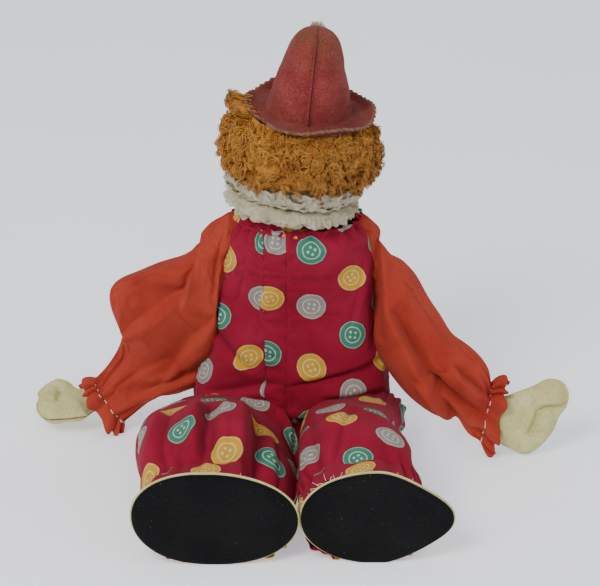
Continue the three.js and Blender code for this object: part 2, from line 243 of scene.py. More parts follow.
def printed_cotton():
    """Crimson cotton printed with coat buttons in three colours, on a slanted lattice."""
    f = Finish("printed_cotton", 0.9, 0.03)
    normal, threads = f.weave(0.62)
    cloth = f.cloth_place()
    unstretch = np.linalg.inv(np.column_stack([PRINT_STEP, PRINT_ROW]))
    step = f.vector("DOT_PRODUCT", cloth, (*unstretch[0], 0))
    row = f.vector("DOT_PRODUCT", cloth, (*unstretch[1], 0))
    lattice = f.joined(step, row)
    cell = f.vector("FLOOR", lattice)
    made = f.tree.nodes.new("ShaderNodeTexWhiteNoise")
    f.put(made.inputs["Vector"], cell)
    chance = f.vector("SUBTRACT", made.outputs["Color"], (0.5, 0.5, 0.5))
    inside_cell = f.parts(f.vector("SUBTRACT", f.vector("SUBTRACT", lattice, cell), (0.5, 0.5, 0)))
    flat = f.vector(
        "ADD",
        f.scaled((*PRINT_STEP, 0), inside_cell[0]),
        f.scaled((*PRINT_ROW, 0), inside_cell[1]),
    )
    flat = f.vector("ADD", flat, f.scaled(chance, 2 * PRINT_JITTER))
    flat = f.vector("MULTIPLY", flat, (1, 1, 0))
    radius = f.vector("LENGTH", flat)
    wobble = f.math("MULTIPLY", f.noise(cloth, 0.4, 2), 0.8)
    radius = f.math("ADD", radius, f.math("SUBTRACT", wobble, 0.4))

    i, j, _ = f.parts(cell)
    order = f.math("FLOORED_MODULO", f.math("ADD", i, f.math("MULTIPLY", j, 2)), 3)
    colour = f.mixed(f.math("GREATER_THAN", order, 0.5), BUTTON_COLOURS[0], BUTTON_COLOURS[1])
    colour = f.mixed(f.math("GREATER_THAN", order, 1.5), colour, BUTTON_COLOURS[2])
    ink = f.noise(cloth, 1.3, 4)
    colour = f.mixed(f.math("MULTIPLY", ink, 0.09), colour, BUTTON_PALE)

    def line(at, width):
        off = f.math("ABSOLUTE", f.math("SUBTRACT", radius, at))
        return f.between(off, width, width + 0.35, 1.0, 0.0)

    turned = f.node("ShaderNodeVectorRotate", flat, rotation_type="Z_AXIS")
    f.put(turned.inputs["Angle"], f.math("MULTIPLY", made.outputs["Value"], 3.0))
    hole = f.vector("SUBTRACT", f.vector("ABSOLUTE", turned.outputs[0]), (1.75, 1.75, 0))
    holes = f.between(f.vector("LENGTH", hole), 0.75, 1.1, 1.0, 0.0)
    pale = f.math("MAXIMUM", line(BUTTON_RADIUS * 0.57, 0.2), holes)
    faint = f.math("MULTIPLY", line(BUTTON_RADIUS - 0.5, 0.1), 0.6)
    colour = f.mixed(f.math("MAXIMUM", pale, faint), colour, BUTTON_PALE)
    disc = f.between(radius, BUTTON_RADIUS - 0.2, BUTTON_RADIUS + 0.25, 1.0, 0.0)
    edge = f.math("MULTIPLY", line(BUTTON_RADIUS + 0.3, 0.2), 0.55)

    worn = f.between(f.noise(f.place(), 22, 5), 0.4, 0.75)
    ground = f.mixed(worn, CRIMSON, CRIMSON_WORN)
    ground = f.mixed(edge, ground, (0.12, 0.004, 0.02))
    colour = f.mixed(disc, ground, colour)
    shade = f.between(threads, -1.0, 1.0, 0.0, 0.18)
    colour = f.mixed(shade, colour, (0.05, 0.01, 0.015))
    # The hollows of the folds are darkened with painted shade.
    return f.finish(f.shaded_folds(colour, (0.05, 0.002, 0.008)), normal)


def plain_cotton(name, colour, worn_colour, dark_colour):
    f = Finish(name, 0.9, 0.03)
    normal, threads = f.weave(0.62)
    worn = f.between(f.noise(f.place(), 26, 5), 0.35, 0.75)
    base = f.mixed(worn, colour, worn_colour)
    grime = f.between(f.noise(f.place(), 60, 4), 0.55, 0.85, 0.0, 0.35)
    base = f.mixed(grime, base, dark_colour)
    # Painted shade: darker between the threads of the weave, and in the hollows of the folds.
    base = f.mixed(f.between(threads, -1.0, 1.0, 0.0, 0.2), base, dark_colour)
    return f.finish(f.shaded_folds(base, dark_colour), normal)


def felt(name, colour, pale_colour, dark_colour, patch=40, lint=None, fuzz=0.5):
    """Pressed wool: mottled colour and a fine fuzzy relief, with pale lint where it is given."""
    f = Finish(name, 1.0, 0.05)
    where = f.place()
    base = f.mixed(f.between(f.noise(where, patch, 5), 0.35, 0.7), colour, pale_colour)
    base = f.mixed(f.between(f.noise(where, 420, 3), 0.5, 0.8, 0.0, 0.6), base, dark_colour)
    if lint is not None:
        specks = f.between(f.noise(where, 700, 2, 0.4), 0.73, 0.8)
        base = f.mixed(f.math("MULTIPLY", specks, 0.5), base, lint)
    relief = f.math("ADD", f.noise(where, 650, 4, 0.7), f.noise(where, 180, 3))
    normal = f.bump(relief, fuzz, 0.0009)
    return f.finish(base, normal)


def brim_felt():
    """The hat's felt on the brim: browned, with a worn tan edge."""
    f = Finish("brim_felt", 1.0, 0.06)
    where = f.place()
    base = f.mixed(f.between(f.noise(where, 70, 5), 0.35, 0.7), (0.13, 0.020, 0.017), (0.20, 0.045, 0.033))
    from_crown = f.math("MULTIPLY", f.parts(f.cloth_place())[1], -1.0)
    uneven = f.between(f.noise(where, 120, 3), 0.25, 0.55)
    edge = f.math("MULTIPLY", f.between(from_crown, 15.5, 19.0), uneven)
    base = f.mixed(edge, base, (0.24, 0.13, 0.085))
    base = f.mixed(f.between(f.noise(where, 900, 3), 0.45, 0.7, 0.0, 0.5), base, (0.06, 0.012, 0.010))
    relief = f.math("ADD", f.noise(where, 600, 4, 0.7), f.noise(where, 150, 3))
    return f.finish(base, f.bump(relief, 0.55, 0.0010))


def hat_felt():
    """Red felt, faded to olive brown at the tip and darkened along its seam."""
    f = Finish("hat_felt", 1.0, 0.06)
    where = f.place()
    height = f.parts(where)[2]
    base = f.mixed(f.between(f.noise(where, 60, 5), 0.35, 0.7), (0.19, 0.024, 0.023), (0.27, 0.055, 0.045))
    tip = f.math("MULTIPLY", f.between(height, 0.282, 0.306), f.between(f.noise(where, 45, 4), 0.3, 0.7))
    base = f.mixed(tip, base, (0.13, 0.065, 0.025))
    base = f.mixed(f.between(f.noise(where, 900, 4), 0.42, 0.68, 0.0, 0.6), base, (0.075, 0.012, 0.012))
    base = f.mixed(f.between(f.noise(where, 1100, 2), 0.6, 0.8, 0.0, 0.5), base, (0.42, 0.15, 0.12))
    from_seam = f.math("ABSOLUTE", f.parts(f.cloth_place())[0])
    base = f.mixed(f.between(from_seam, 0.9, 0.25, 0.0, 0.85), base, (0.03, 0.006, 0.006))
    relief = f.math("ADD", f.noise(where, 600, 4, 0.7), f.noise(where, 150, 3))
    return f.finish(base, f.bump(relief, 0.55, 0.0010))


def hair_pile():
    """Orange curls, mottled with darker and paler patches spread by noise."""
    f = Finish("hair_pile", 0.8, 0.08)
    where = f.place()
    base = f.mixed(f.between(f.noise(where, 90, 4), 0.3, 0.7), (0.34, 0.11, 0.012), (0.58, 0.27, 0.045))
    base = f.mixed(f.between(f.noise(where, 35, 3), 0.5, 0.75, 0.0, 0.55), base, (0.17, 0.085, 0.014))
    base = f.mixed(f.between(f.noise(where, 500, 2), 0.55, 0.8, 0.0, 0.5), base, (0.75, 0.48, 0.16))
    return f.finish(base, f.bump(f.noise(where, 900, 3), 0.4, 0.0006))


def net_gauze():
    """Yellowed net with fine holes that let a little light through."""
    f = Finish("net_gauze", 0.85, 0.05)
    where = f.place()
    base = f.mixed(f.between(f.noise(where, 50, 5), 0.35, 0.7), (0.44, 0.39, 0.25), (0.62, 0.57, 0.42))
    base = f.mixed(f.between(f.noise(where, 300, 4), 0.5, 0.75, 0.0, 0.4), base, (0.24, 0.20, 0.12))
    u, v, _ = f.parts(f.cloth_place())
    mesh = 2 * math.pi / 1.1
    warp = f.math("SINE", f.math("MULTIPLY", u, mesh))
    weft = f.math("SINE", f.math("MULTIPLY", v, mesh))
    holes = f.math("MULTIPLY", warp, weft)
    f.put(f.shader.inputs["Alpha"], f.between(holes, 0.25, 0.6, 0.93, 0.55))
    return f.finish(base, f.bump(holes, 0.4, 0.0004))


def painted(name, colour, pale, roughness, patch=30):
    f = Finish(name, roughness)
    f.shader.inputs["Coat Weight"].default_value = 0.15
    where = f.place()
    base = f.mixed(f.between(f.noise(where, patch, 5), 0.4, 0.75), colour, pale)
    return f.finish(base, f.bump(f.noise(where, 260, 4), 0.15, 0.0004))


def floor_paper():
    f = Finish("floor_paper", 0.95)
    base = f.mixed(f.between(f.noise(f.place(), 3, 3), 0.3, 0.7), (0.82, 0.83, 0.86), (0.86, 0.87, 0.90))
    # The paper glows a little: painted light that brightens the floor and lights the puppet faintly from
    # below.
    f.shader.inputs["Emission Color"].default_value = (0.86, 0.9, 1.0, 1)
    f.shader.inputs["Emission Strength"].default_value = 0.5
    return f.finish(base)


# ---- meshes ----
def make_mesh(name, points, faces, material, uvs=None):
    """A smooth mesh from millimetre points. uvs has one pair for each face corner."""
    mesh = bpy.data.meshes.new(name)
    mesh.from_pydata((np.asarray(points) * MM).tolist(), [], faces)
    mesh.materials.append(material)
    mesh.polygons.foreach_set("use_smooth", [True] * len(mesh.polygons))
    if uvs is not None:
        layer = mesh.uv_layers.new(name="UVMap")
        layer.data.foreach_set("uv", np.asarray(uvs, np.float32).ravel())
    made = bpy.data.objects.new(name, mesh)
    bpy.context.scene.collection.objects.link(made)
    return made


def cloth_map(points, closed, start=(0.0, 0.0), middle=None):
    """Flat cloth coordinates of a grid: arc length along each row from its middle column, and down it."""
    rows = len(points)
    wide = np.concatenate([points, points[:, :1]], 1) if closed else points
    middle = wide.shape[1] // 2 if middle is None else middle
    steps = np.linalg.norm(np.diff(wide, axis=1), axis=2)
    u = np.concatenate([np.zeros((rows, 1)), np.cumsum(steps, 1)], 1)
    u = u - u[:, middle : middle + 1] + start[0]
    down = np.linalg.norm(np.diff(wide[:, middle], axis=0), axis=1)
    v = start[1] - np.concatenate([[0.0], np.cumsum(down)])
    return np.stack([u, np.repeat(v[:, None], wide.shape[1], 1)], 2)


def grid(name, points, material, closed=False, start=(0.0, 0.0), middle=None, thickness=0.0, cut=None):
    """A sheet over rows by columns of points. closed joins each row's end to its start.

    cut has the smooth points that the cloth's own map is measured on, where the sheet itself is wrinkled.
    """
    rows, columns = points.shape[:2]
    index = np.arange(rows * columns).reshape(rows, columns)
    if closed:
        index = np.hstack([index, index[:, :1]])
    quads = np.stack([index[:-1, :-1], index[:-1, 1:], index[1:, 1:], index[1:, :-1]], -1).reshape(-1, 4)
    flat = cloth_map(points if cut is None else cut, closed, start, middle)
    corners = np.stack([flat[:-1, :-1], flat[:-1, 1:], flat[1:, 1:], flat[1:, :-1]], 2).reshape(-1, 2)
    made = make_mesh(name, points.reshape(-1, 3), quads.tolist(), material, corners)
    if thickness:
        solid = made.modifiers.new("thickness", "SOLIDIFY")
        solid.thickness = thickness * MM
        solid.offset = 0
        apply_modifiers(made)
    return made


def apply_modifiers(made):
    shaped = made.evaluated_get(bpy.context.evaluated_depsgraph_get())
    mesh = bpy.data.meshes.new_from_object(shaped)
    made.modifiers.clear()
    made.data = mesh


SIM_SCALE = 12


def settle(made, pinned, grow, pressure=0.0, cap=4.0, frames=14, finer=1):
    """Let a sheet cut a little too large crumple into its own small folds, and keep them.

    pinned has the numbers of the points that stay where they are. cap is the furthest a point may move.
    """
    mesh = made.data
    before = np.empty(len(mesh.vertices) * 3, np.float32)
    mesh.vertices.foreach_get("co", before)
    mesh.vertices.foreach_set("co", before * SIM_SCALE)
    group = made.vertex_groups.new(name="pin")
    group.add([int(i) for i in pinned], 1.0, "REPLACE")
    cloth = made.modifiers.new("cloth", "CLOTH")
    settings = cloth.settings
    settings.quality = 5
    settings.mass = 0.2
    settings.tension_stiffness = 25
    settings.compression_stiffness = 25
    settings.shear_stiffness = 8
    settings.bending_stiffness = 0.25
    settings.shrink_min = -grow
    settings.vertex_group_mass = "pin"
    settings.use_pressure = pressure > 0
    settings.uniform_pressure_force = pressure
    settings.effector_weights.gravity = 0
    cloth.collision_settings.use_collision = False
    scene = bpy.context.scene
    for frame_number in range(1, frames + 1):
        scene.frame_set(frame_number)
    apply_modifiers(made)
    scene.frame_set(1)
    after = np.empty(len(before), np.float32)
    made.data.vertices.foreach_get("co", after)
    move = (after / SIM_SCALE - before).reshape(-1, 3)
    far = np.linalg.norm(move, axis=1)[:, None]
    move = move * np.minimum(1, cap * MM / (far + 1e-9))
    settled = before.reshape(-1, 3) + move
    made.vertex_groups.clear()
    made.data.vertices.foreach_set("co", settled.astype(np.float32).ravel())
    smooth = made.modifiers.new("smooth", "SUBSURF")
    smooth.levels = finer
    apply_modifiers(made)
    return made


def above_floor(made, least=0.5):
    """Keep a soft piece out of the table."""
    points = np.empty(len(made.data.vertices) * 3, np.float32)
    made.data.vertices.foreach_get("co", points)
    points = points.reshape(-1, 3)
    points[:, 2] = np.maximum(points[:, 2], least * MM)
    made.data.vertices.foreach_set("co", points.ravel())


def join_parts(name, parts, material):
    """One mesh from (points, faces) pairs."""
    points, faces, offset = [], [], 0
    for part_points, part_faces in parts:
        points.append(part_points)
        faces.extend((np.asarray(part_faces) + offset).tolist())
        offset += len(part_points)
    return make_mesh(name, np.concatenate(points), faces, material)


def tube_part(path, radii, sides=6):
    """Points and faces of a closed tube along a path of points."""
    path = np.asarray(path, float)
    radii = np.broadcast_to(radii, (len(path),))
    ahead = np.gradient(path, axis=0)
    ahead /= np.linalg.norm(ahead, axis=1)[:, None] + 1e-9
    helper = UP if abs(ahead[0] @ UP) < 0.8 else BACK
    side = np.cross(ahead, helper)
    side /= np.linalg.norm(side, axis=1)[:, None] + 1e-9
    other = np.cross(ahead, side)
    turn = np.linspace(0, 2 * math.pi, sides, endpoint=False)
    ring = np.cos(turn)[None, :, None] * side[:, None] + np.sin(turn)[None, :, None] * other[:, None]
    points = (path[:, None] + ring * radii[:, None, None]).reshape(-1, 3)
    index = np.arange(len(path) * sides).reshape(len(path), sides)
    index = np.hstack([index, index[:, :1]])
    quads = np.stack([index[:-1, :-1], index[:-1, 1:], index[1:, 1:], index[1:, :-1]], -1).reshape(-1, 4)
    return points, quads


def spline(rows, count):
    """A smooth run of count rows through the given rows of numbers."""
    rows = np.asarray(rows, float)
    padded = np.concatenate([[2 * rows[0] - rows[1]], rows, [2 * rows[-1] - rows[-2]]])
    at = np.linspace(0, len(rows) - 1, count)
    i = np.minimum(at.astype(int), len(rows) - 2)
    t = (at - i)[:, None]
    a, b, c, d = padded[i], padded[i + 1], padded[i + 2], padded[i + 3]
    return 0.5 * (2 * b + (c - a) * t + (2 * a - 5 * b + 4 * c - d) * t**2 + (3 * b - a - 3 * c + d) * t**3)


def rough(points, size, seed=0.0):
    """Smooth noise from -1 to 1 at each point, with lumps of about the given size."""
    flat = np.asarray(points, float).reshape(-1, 3) / size
    values = [noise.noise(Vector((x + seed, y - seed, z + 2 * seed))) for x, y, z in flat.tolist()]
    return np.array(values).reshape(np.asarray(points).shape[:-1])


def smoothstep(value, low, high):
    t = np.clip((value - low) / (high - low), 0, 1)
    return t * t * (3 - 2 * t)


def crease(x, z, start, end, depth, width):
    """The relief of a folded edge from start to end in a plane: raised on its left and sunk on its right."""
    start, end = np.array(start, float), np.array(end, float)
    length = np.linalg.norm(end - start)
    ahead = (end - start) / length
    along = (x - start[0]) * ahead[0] + (z - start[1]) * ahead[1]
    across = (z - start[1]) * ahead[0] - (x - start[0]) * ahead[1]
    share = along / length
    ends = smoothstep(share, -0.12, 0.25) * (1 - smoothstep(share, 0.75, 1.12))
    reach = np.where(across > 0, width, 0.55 * width)
    return depth * ends * np.tanh(across / 1.5) * np.exp(-((across / reach) ** 2))


def in_head_frame(points, tilt=0.0):
    """From head coordinates (across, forward, up the neck axis) to the row frame, tilted back first."""
    points = np.asarray(points, float)
    across, forward, up = points[..., 0], points[..., 1], points[..., 2]
    c, s = math.cos(tilt), math.sin(tilt)
    forward, up = forward * c - up * s, forward * s + up * c
    sideways = NECK + across[..., None] * HEAD_ACROSS
    return sideways + forward[..., None] * HEAD_FORWARD + up[..., None] * HEAD_UP


# ---- torso ----
TORSO_HALF_WIDTHS = [
    (2, 50),
    (14, 62),
    (38, 65),
    (62, 63),
    (85, 59),
    (110, 55),
    (142, 52.5),
    (160, 49),
    (170, 43.5),
]
LEFT_HIP = 9.0
CENTRE_SEAM = -9.0
SLIT = -25.0


def torso_width(z):
    heights, widths = zip(*TORSO_HALF_WIDTHS)
    return np.interp(z, heights, widths)


def torso_depth(z):
    return 0.55 + 0.2 * smoothstep(z, 110, 174)


def torso_point(angle, z):
    """A point on the cloth bag. angle is 0 at the puppet's right side and -90 degrees at its back."""
    fullness = 1 + 0.012 * np.sin(5 * angle + z / 31) + 0.01 * np.sin(9 * angle - z / 23)
    gathers = 0.05 * smoothstep(z, 150, 176) * np.sin(26 * angle + 2 * np.sin(3 * angle))
    radius = torso_width(z) * (fullness + gathers)
    x = radius * np.cos(angle) - 2
    x = x - LEFT_HIP * smoothstep(-x, 30, 60) * smoothstep(z, 12, 36) * (1 - smoothstep(z, 46, 84))
    y = radius * torso_depth(z) * np.sin(angle)
    return x, y


TORSO_CREASES = [
    ((-34, 66), (-62, 90), 2.6, 9),
    ((-16, 58), (-66, 46), 3.4, 9),
    ((-8, 60), (52, 72), 2.4, 10),
    ((14, 50), (60, 48), 2.6, 8),
    ((44, 150), (34, 96), 1.4, 8),
    ((-34, 160), (-42, 110), 1.2, 7),
    ((4, 168), (0, 140), 0.9, 5),
    ((20, 168), (24, 138), 0.9, 5),
]


def lifted(points, angle, inset, creased):
    """Torso points moved along their outward way by the cloth's lumps and creases."""
    outward = np.stack([np.cos(angle), np.sin(angle) / 0.6, 0 * angle], 2)
    outward /= np.linalg.norm(outward, axis=2)[..., None]
    lift = 1.1 * rough(points, 26, 3)
    if creased:
        for start, end, depth, width in TORSO_CREASES:
            lift = lift + crease(points[..., 0], points[..., 2], start, end, depth, width)
    return points + outward * (lift - inset)[..., None]


def torso_front(low, high, columns=110, rows=90):
    """Rows of points round the front of the bag, from one side seam to the other."""
    z = np.repeat(np.linspace(high, low, rows)[:, None], columns, 1)
    angle = np.repeat(np.linspace(0, math.pi, columns)[None, :], rows, 0)
    x, y = torso_point(angle, z)
    smooth = np.stack([x, y, z], 2)
    return lifted(smooth, angle, 0.0, False), smooth


def angle_at(x, z):
    """The back's angle where it crosses a given x."""
    return -math.acos(max(-1, min(1, (x + 2) / float(torso_width(z)))))


def panel(first_x, last_x, low, high, inset=0.0, columns=60, rows=90):
    """A back panel between two vertical edges, each an x or the side seam given as None."""
    z = np.linspace(high, low, rows)
    first = np.array([-math.pi if first_x is None else angle_at(first_x, v) for v in z])
    last = np.array([0.0 if last_x is None else angle_at(last_x, v) for v in z])
    share = np.linspace(0, 1, columns)[None, :]
    angle = first[:, None] * (1 - share) + last[:, None] * share
    zz = np.repeat(z[:, None], columns, 1)
    x, y = torso_point(angle, zz)
    smooth = np.stack([x, y, zz], 2)
    edge_roll = np.exp(-share * columns / 2.0) if first_x is not None else 0 * share
    edge_roll = edge_roll + (np.exp(-(1 - share) * columns / 2.0) if last_x is not None else 0 * share)
    return lifted(smooth, angle, inset + 1.2 * edge_roll, True), smooth


def torso_piece(name, shape, cotton, start, cut, *nodes):
    """One torso panel: settled into small folds between its sewn edges, then given its thickness."""
    points, smooth = shape
    rows, columns = points.shape[:2]
    piece = grid(name, points, cotton, start=start, cut=smooth)
    index = np.arange(rows * columns).reshape(rows, columns)
    sewn = np.concatenate([index[0], index[-1], index[:, 0], index[:, -1]])
    settle(piece, sewn, grow=0.025, cap=2.2)
    solid = piece.modifiers.new("thickness", "SOLIDIFY")
    solid.thickness = 0.7 * MM
    apply_modifiers(piece)
    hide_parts(*nodes)
    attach(piece, "torso")


def make_torso(print_cotton):
    low, high = 34, 174
    left = panel(None, SLIT, low, high)
    torso_piece("back_left_cloth", left, print_cotton, (-27, 175), (56, 145), "back_left_panel")
    right = panel(CENTRE_SEAM, None, low, high, columns=74)
    torso_piece("back_right_cloth", right, print_cotton, (25, 178.5), (84, 145), "back_right_panel")
    strip = panel(SLIT - 3, CENTRE_SEAM + 1, low, high, inset=1.0, columns=18)
    torso_piece("slit_placket", strip, print_cotton, (-5, 128), (22, 145), "slit_facing")
    front = torso_front(1.5, high)
    torso_piece("front_cloth", front, print_cotton, (5, 170), (150, 176), "front_panel")


def torso_bottom(print_cotton):
    """The seat and the strip between the legs, soft and puckered."""
    rings = []
    for share in np.linspace(0, 1, 26):
        angle = np.linspace(0, 2 * math.pi, 120, endpoint=False)
        radius = 49.5 - 48 * share
        x = radius * np.cos(angle) - 2
        y = torso_depth(2) * radius * np.sin(angle)
        z = 0.8 + 33 * (1 - smoothstep(share, 0.0, 0.3)) * smoothstep(-y, 4, 12)
        rings.append(np.stack([x, y, z + 0.3 * np.sin(12 * angle) * (1 - share)], 1))
    seat = grid("seat_cloth", np.array(rings), print_cotton, closed=True, thickness=0.6)
    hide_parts("seat_panel", "crotch_gusset")
    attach(seat, "torso")


# ---- sleeves ----
# stations down each sleeve: outer edge (x, z), inner edge (x, z), middle y and half depth
LEFT_SLEEVE = [
    (-41, 176, -47, 136, 0, 12),
    (-55, 171, -52, 126, 0, 15),
    (-67, 161, -55, 114, 0, 16),
    (-77, 146, -56, 98, 0, 16),
    (-98, 136, -60, 80, 2, 16),
    (-119, 126, -64, 62, 4, 15),
    (-134, 114, -73, 45, 6, 14),
    (-133, 88, -87, 34, 8, 13),
    (-130, 70, -104, 27, 10, 12),
    (-138, 52, -116, 18, 11, 11),
    (-147, 39, -128, 9, 12, 9),
]
RIGHT_SLEEVE = [
    (38, 176, 48, 140, 0, 12),
    (52, 165, 52, 126, 0, 15),
    (61, 151, 54, 108, -2, 17),
    (75, 139, 55, 92, -5, 18),
    (86, 122, 58, 76, -8, 18),
    (96, 104, 67, 60, -11, 17),
    (107, 88, 80, 46, -15, 16),
    (122, 77, 96, 34, -19, 14),
    (131, 66, 114, 24, -23, 11),
    (134, 54, 128, 12, -25, 8),
]
# folds down each sleeve: start (x, z), end (x, z), depth and width, raised on the left of the way down
LEFT_CREASES = [
    ((-82, 119), (-127, 79), 7.0, 24),
    ((-69, 158), (-84, 110), 5.0, 12),
    ((-50, 168), (-62, 112), 2.5, 12),
    ((-62, 104), (-104, 40), 4.0, 18),
    ((-70, 58), (-118, 32), 5.0, 9),
    ((-96, 66), (-134, 34), 1.8, 8),
    ((-116, 52), (-140, 24), 1.8, 6),
]
RIGHT_CREASES = [
    ((109, 24), (63, 120), 8.5, 18),
    ((57, 162), (61, 104), 6.5, 9),
    ((131, 27), (84, 64), 6.5, 11),
    ((133, 46), (106, 70), 5.0, 8),
    ((126, 18), (98, 36), 4.0, 7),
    ((104, 84), (72, 134), 4.5, 12),
]


def sleeve_points(stations, creases, rows=100, columns=130):
    """The sleeve's wrinkled surface, and the smooth one under it."""
    outer_x, outer_z, inner_x, inner_z, middle_y, depth = spline(stations, rows).T
    outer = np.stack([outer_x, middle_y, outer_z], 1)
    inner = np.stack([inner_x, middle_y, inner_z], 1)
    half = (outer - inner) / 2
    size = np.linalg.norm(half, axis=1)
    angle = np.linspace(0, 2 * math.pi, columns, endpoint=False)[None, :, None]
    middle = ((outer + inner) / 2)[:, None]
    across = half[:, None] * np.sign(np.cos(angle)) * np.abs(np.cos(angle)) ** 0.85
    through = BACK * depth[:, None, None] * np.sign(np.sin(angle)) * np.abs(np.sin(angle)) ** 0.9
    smooth = middle + across + through
    normal = half[:, None] / size[:, None, None] ** 2 * np.cos(angle)
    normal = normal + BACK * np.sin(angle) / depth[:, None, None]
    normal = normal / np.linalg.norm(normal, axis=2)[..., None]
    turn = angle[..., 0]
    share = np.linspace(0, 1, rows)[:, None]
    pleats = 1.6 * smoothstep(share, 0.72, 1.0) + 0.8 * (1 - smoothstep(share, 0.0, 0.12))
    lift = pleats * np.sin(13 * turn + 3 * np.sin(2 * turn) + 4 * share)
    lift = lift + 1.6 * rough(smooth, 24, 11)
    side = np.sin(turn)
    for start, end, deep, width in creases:
        relief = crease(smooth[..., 0], smooth[..., 2], start, end, deep, width)
        lift = lift + relief * np.sign(side) * np.abs(side) ** 0.4
    return smooth + normal * lift[..., None], smooth


def make_sleeve(side, cotton):
    stations, creases = (LEFT_SLEEVE, LEFT_CREASES) if side == "left" else (RIGHT_SLEEVE, RIGHT_CREASES)
    points, smooth = sleeve_points(stations, creases)
    split, columns = 12, points.shape[1]
    whole = grid(f"{side}_whole_sleeve", points, cotton, closed=True, cut=smooth)
    ends = np.concatenate([np.arange(columns), np.arange(columns) + columns * (len(points) - 1)])
    settle(whole, ends, grow=0.04, pressure=0.3, cap=4, finer=0)
    settled = np.empty(points.size, np.float32)
    whole.data.vertices.foreach_get("co", settled)
    settled = settled.reshape(points.shape) / MM
    bpy.data.objects.remove(whole)

    shoulder = joint_place(f"shoulder_{side}_raise")
    cap = grid(f"{side}_shoulder_cloth", settled[: split + 1], cotton, closed=True)
    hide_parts(f"{side}_armhole_band")
    body = grid(f"{side}_sleeve_cloth", settled[split:], cotton, closed=True, start=(0, -20))
    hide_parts(f"{side}_sleeve")
    for piece in (cap, body):
        finer = piece.modifiers.new("smooth", "SUBSURF")
        finer.levels = 1
        apply_modifiers(piece)
    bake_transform(cap)
    down = joint_place(f"wrist_{side}_bend") - shoulder
    down = down / np.linalg.norm(down)
    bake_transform(body)
    return settled[-1]


def make_cuff(side, gather, cotton, thread):
    """The frill beyond the gathers, and the running stitches that hold them."""
    middle = gather.mean(0)
    out = np.array([-0.62, -0.1, -0.78]) if side == "left" else np.array([0.8, -0.1, -0.28])
    out = out / np.linalg.norm(out)
    rows = []
    turn = np.linspace(0, 2 * math.pi, len(gather), endpoint=False)
    length = 11
    for share in np.linspace(0, 1, 14):
        flare = 1 + 0.34 * math.sin(share * 1.7) + 0.10 * share * np.sin(7 * turn + 1.3 * np.sin(3 * turn))
        lean = 1.4 * share * np.sin(11 * turn + 2 * np.sin(2 * turn))
        ring = middle + (gather - middle) * flare[:, None] + out * (length * share + lean)[:, None]
        rows.append(ring)
    points = np.array(rows)
    points = points + 0.7 * rough(points, 6, 31)[..., None] * BACK
    points[..., 2] = np.maximum(points[..., 2], 0.8)
    frill = grid(f"{side}_frill_cloth", points, cotton, closed=True, thickness=0.5)
    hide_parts(f"{side}_cuff_frill")
    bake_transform(frill)
    parts = []
    for i in range(0, len(gather) - 4, 7):
        dash = spline(gather[i : i + 4], 7)
        outward = dash - middle
        outward = outward / np.linalg.norm(outward, axis=1)[:, None]
        bow = np.sin(np.linspace(0, math.pi, 7))[:, None]
        path = dash + outward * (0.5 + 0.9 * bow) + out * 0.4 * math.sin(i)
        parts.append(tube_part(path, 0.33, 6))
    stitches = join_parts(f"{side}_cuff_stitches", parts, thread)
    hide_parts(f"{side}_cuff_thread")
    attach(stitches, f"arm_{side}")


# ---- hands ----
# mitten outline in the hand's plane: along the fingers, towards the thumb
MITTEN = [(2, -14), (14, -22), (27, -27), (38, -20), (46, -9), (50, 2), (55, 10), (56, 20), (51, 28),
          (41, 30), (29, 24), (14, 18), (2, 12)]


def mitten_outline(count):
    loop = np.array(MITTEN + MITTEN[:1], float)
    return spline(loop, count + 1)[:-1]


# creases pressed into the mitten: points along and across, depth and width
THUMB_CREASE = [(56, 13), (47, 11.5), (39, 11.6), (34, 7.5), (31.5, 0), (29, -8)]
FINGER_CREASES = [
    [(52, 3), (45, 1.5), (40, 4)],
    [(44, -9), (38, -7.5), (31, -9)],
    [(24, 22), (30, 17), (33, 10)],
]


def groove(along, across, path, depth, width):
    """How deep a crease along a path presses in at each place."""
    nearest = np.full(along.shape, 1e9)
    for (a0, b0), (a1, b1) in zip(path, path[1:]):
        run = np.array([a1 - a0, b1 - b0], float)
        t = np.clip(((along - a0) * run[0] + (across - b0) * run[1]) / (run @ run), 0, 1)
        nearest = np.minimum(nearest, np.hypot(along - a0 - t * run[0], across - b0 - t * run[1]))
    return depth * np.exp(-((nearest / width) ** 2))


def mitten_height(flat, share, edge_height, puff):
    """How far the stuffed mitten stands up over a place in its plane: domed, with the thumb tucked in."""
    along, across = flat[:, 0], flat[:, 1]
    height = puff * np.maximum(0.0, 1 - (share / 0.95) ** 3.4) ** 0.55
    creases = groove(along, across, THUMB_CREASE, 4.2, 1.9)
    for path in FINGER_CREASES:
        creases = creases + groove(along, across, path, 1.5, 1.7)
    thumb_ball = 2.4 * np.exp(-((along - 45) ** 2 + (across - 20) ** 2) / 60)
    fingers = 2.0 * np.exp(-((along - 42) ** 2 + (across - 3) ** 2) / 40)
    dimples = 0.7 * np.sin(along / 3.9 + 1) * np.sin(across / 4.3)
    relief = (thumb_ball + fingers - creases + dimples) * smoothstep(height, 0.5, 4.0)
    return np.maximum(edge_height, height + relief)


